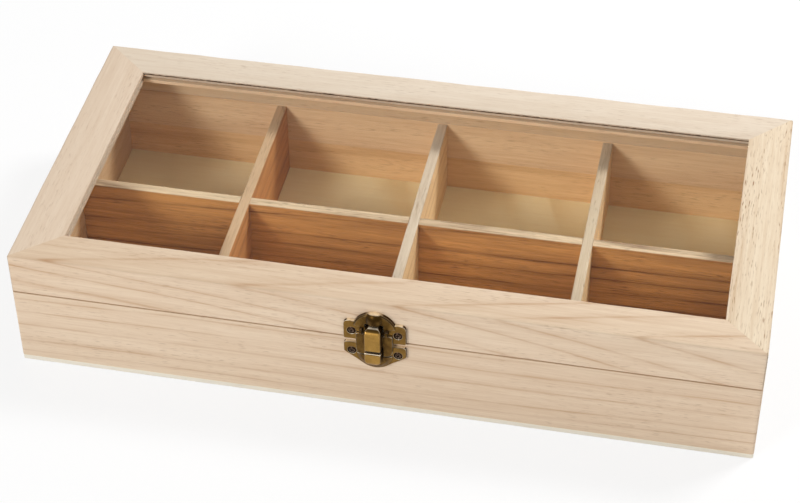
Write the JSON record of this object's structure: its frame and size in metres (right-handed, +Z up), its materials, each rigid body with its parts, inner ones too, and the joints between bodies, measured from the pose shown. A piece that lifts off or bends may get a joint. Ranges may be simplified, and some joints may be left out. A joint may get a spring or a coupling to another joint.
{
  "type": "tea bag organizer box",
  "caption": "Rectangular wooden tea bag box with divided compartments under a hinged, glazed lid closed by a small brass latch.",
  "frame": {"origin": "middle of the base, on the surface that the box stands on", "axes": "+X to the right along the length, +Y to the hinges at the back, +Z up"},
  "size_m": [0.37, 0.1933, 0.0695],
  "materials": {
    "raw_wood": "sanded, unfinished pale paulownia",
    "divider_wood": "sanded, unfinished warm paulownia with pale top edges",
    "plywood": "smooth pale plywood",
    "window_glass": "clear float glass",
    "antique_brass": "antiqued, dark in the recesses and rubbed bright on the edges",
    "dark_screws": "dark antiqued"
  },
  "bodies": {
    "box": {"box_front": "raw_wood", "box_back": "raw_wood", "box_left": "raw_wood", "box_right": "raw_wood", "bottom_panel": "plywood", "long_divider": "divider_wood", "cross_divider_left": "divider_wood", "cross_divider_middle": "divider_wood", "cross_divider_right": "divider_wood", "latch_catch_plate": "antique_brass", "latch_catch_screws": "dark_screws", "hinge_left_box_leaf": "antique_brass", "hinge_right_box_leaf": "antique_brass", "hinge_left_pin": "antique_brass", "hinge_right_pin": "antique_brass", "hinge_box_screws": "dark_screws"},
    "lid": {"lid_front_rail": "raw_wood", "lid_back_rail": "raw_wood", "lid_left_rail": "raw_wood", "lid_right_rail": "raw_wood", "glass_pane": "window_glass", "latch_lid_plate": "antique_brass", "latch_lid_screws": "dark_screws", "latch_pin": "antique_brass", "hinge_left_lid_leaf": "antique_brass", "hinge_right_lid_leaf": "antique_brass", "hinge_lid_screws": "dark_screws"},
    "tongue": {"latch_tongue": "antique_brass"}
  },
  "joints": [
    {"name": "lid_hinge", "type": "hinge", "parent": "box", "child": "lid", "pos_m": [0, 0.092, 0.04615], "axis": [-1, 0, 0], "range_deg": [0, 100]},
    {"name": "tongue_pivot", "type": "hinge", "parent": "lid", "child": "tongue", "pos_m": [0, -0.0942, 0.0543], "axis": [-1, 0, 0], "range_deg": [0, 100]}
  ]
}
